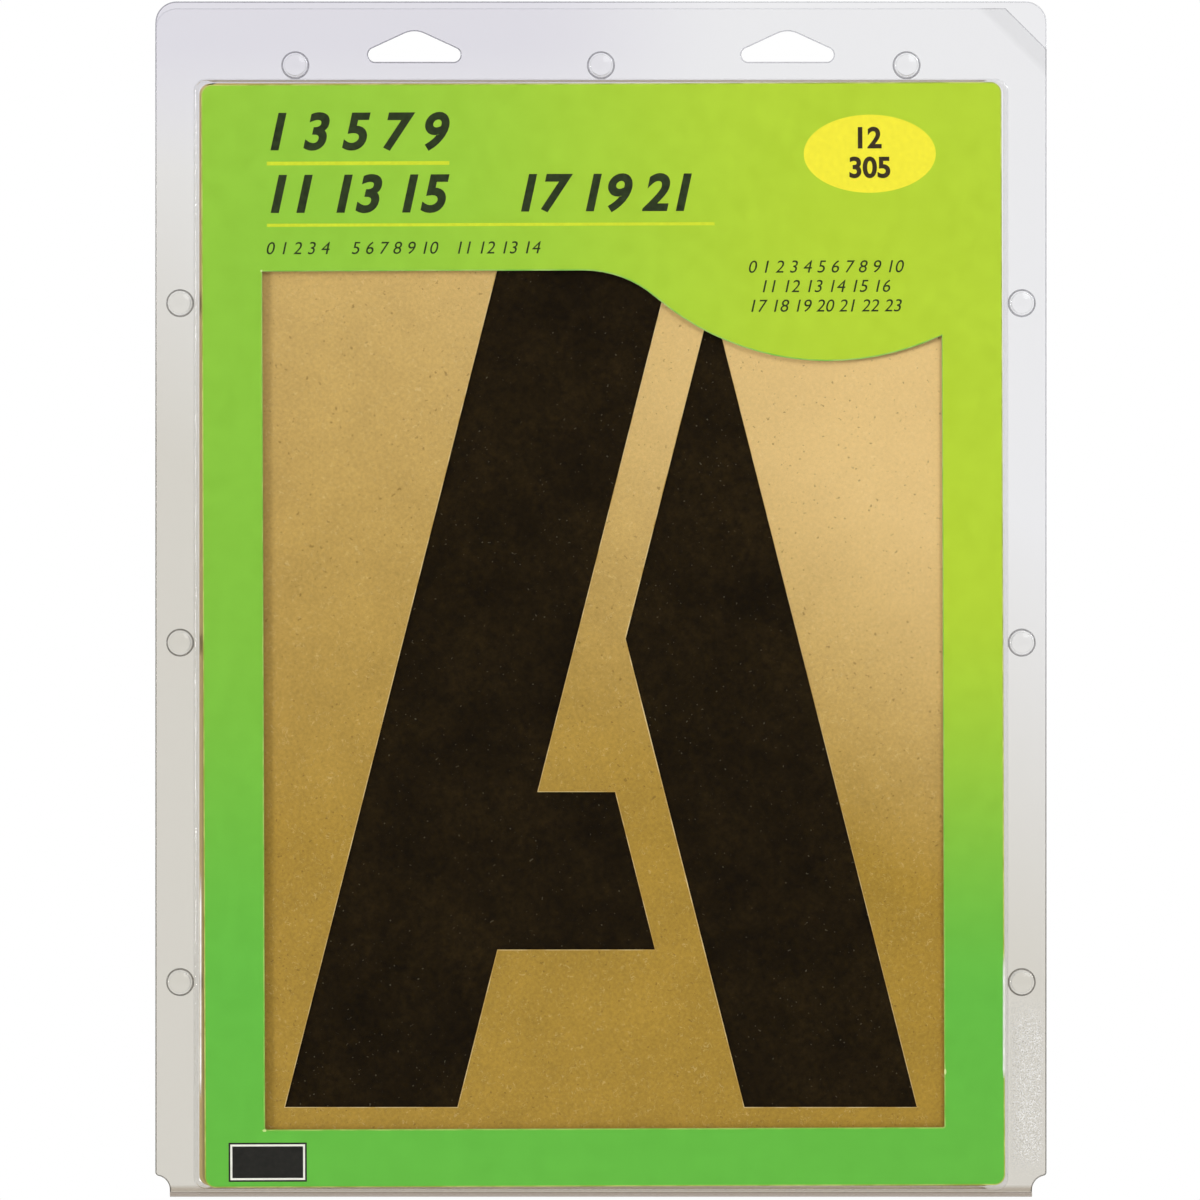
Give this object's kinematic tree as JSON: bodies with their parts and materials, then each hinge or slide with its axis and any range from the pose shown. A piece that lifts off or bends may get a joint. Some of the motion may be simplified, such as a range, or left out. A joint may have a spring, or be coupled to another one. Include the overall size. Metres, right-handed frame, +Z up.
{
  "type": "letter stencil pack",
  "caption": "Clear hinged clamshell hang pack holding paperboard letter and number stencils behind a printed card with a wave-topped window.",
  "frame": {"origin": "middle between the two hang holes, at the height where a peg bears on their crowns, in the seam between the two rims", "axes": "+Z up along the pack's height, +X to the right as seen from the front, +Y from the front cover to the rear tray"},
  "size_m": [0.2874, 0.0197, 0.3856],
  "materials": {
    "clear_pet": "clear thermoformed PET sheet, glossy",
    "printed_card": "coated card, printed green, pale cut edges",
    "black_paper": "matt black-brown paper with fine specks",
    "stencil_board": "brown paperboard with fine fibres"
  },
  "bodies": {
    "tray": {"back_tray": "clear_pet", "living_hinge": "clear_pet"},
    "cover": {"front_cover": "clear_pet"},
    "card": {"insert_card": "printed_card"},
    "stack": {"backing_sheet": "black_paper", "stencil_a": "stencil_board", "stencil_b": "stencil_board", "stencil_c": "stencil_board", "stencil_d": "stencil_board", "stencil_e": "stencil_board", "stencil_f": "stencil_board", "stencil_g": "stencil_board", "stencil_h": "stencil_board", "stencil_i": "stencil_board", "stencil_j": "stencil_board", "stencil_k": "stencil_board", "stencil_l": "stencil_board", "stencil_m": "stencil_board", "stencil_n": "stencil_board", "stencil_o": "stencil_board", "stencil_p": "stencil_board", "stencil_q": "stencil_board", "stencil_r": "stencil_board", "stencil_s": "stencil_board", "stencil_t": "stencil_board", "stencil_u": "stencil_board", "stencil_v": "stencil_board", "stencil_w": "stencil_board", "stencil_x": "stencil_board", "stencil_y": "stencil_board", "stencil_z": "stencil_board", "stencil_0": "stencil_board", "stencil_1": "stencil_board", "stencil_2": "stencil_board", "stencil_3": "stencil_board", "stencil_4": "stencil_board", "stencil_5": "stencil_board", "stencil_6": "stencil_board", "stencil_7": "stencil_board", "stencil_8": "stencil_board", "stencil_9": "stencil_board"}
  },
  "joints": [
    {"name": "cover_hinge", "type": "hinge", "parent": "tray", "child": "cover", "pos_m": [0, 0, -0.37525], "axis": [1, 0, 0], "range_deg": [0, 180]},
    {"name": "card_shift", "type": "slide", "parent": "tray", "child": "card", "axis": [1, 0, 0], "range_m": [-0.0015, 0.0001]},
    {"name": "stack_shift", "type": "slide", "parent": "tray", "child": "stack", "axis": [1, 0, 0], "range_m": [-0.0008, 0.0033]}
  ]
}
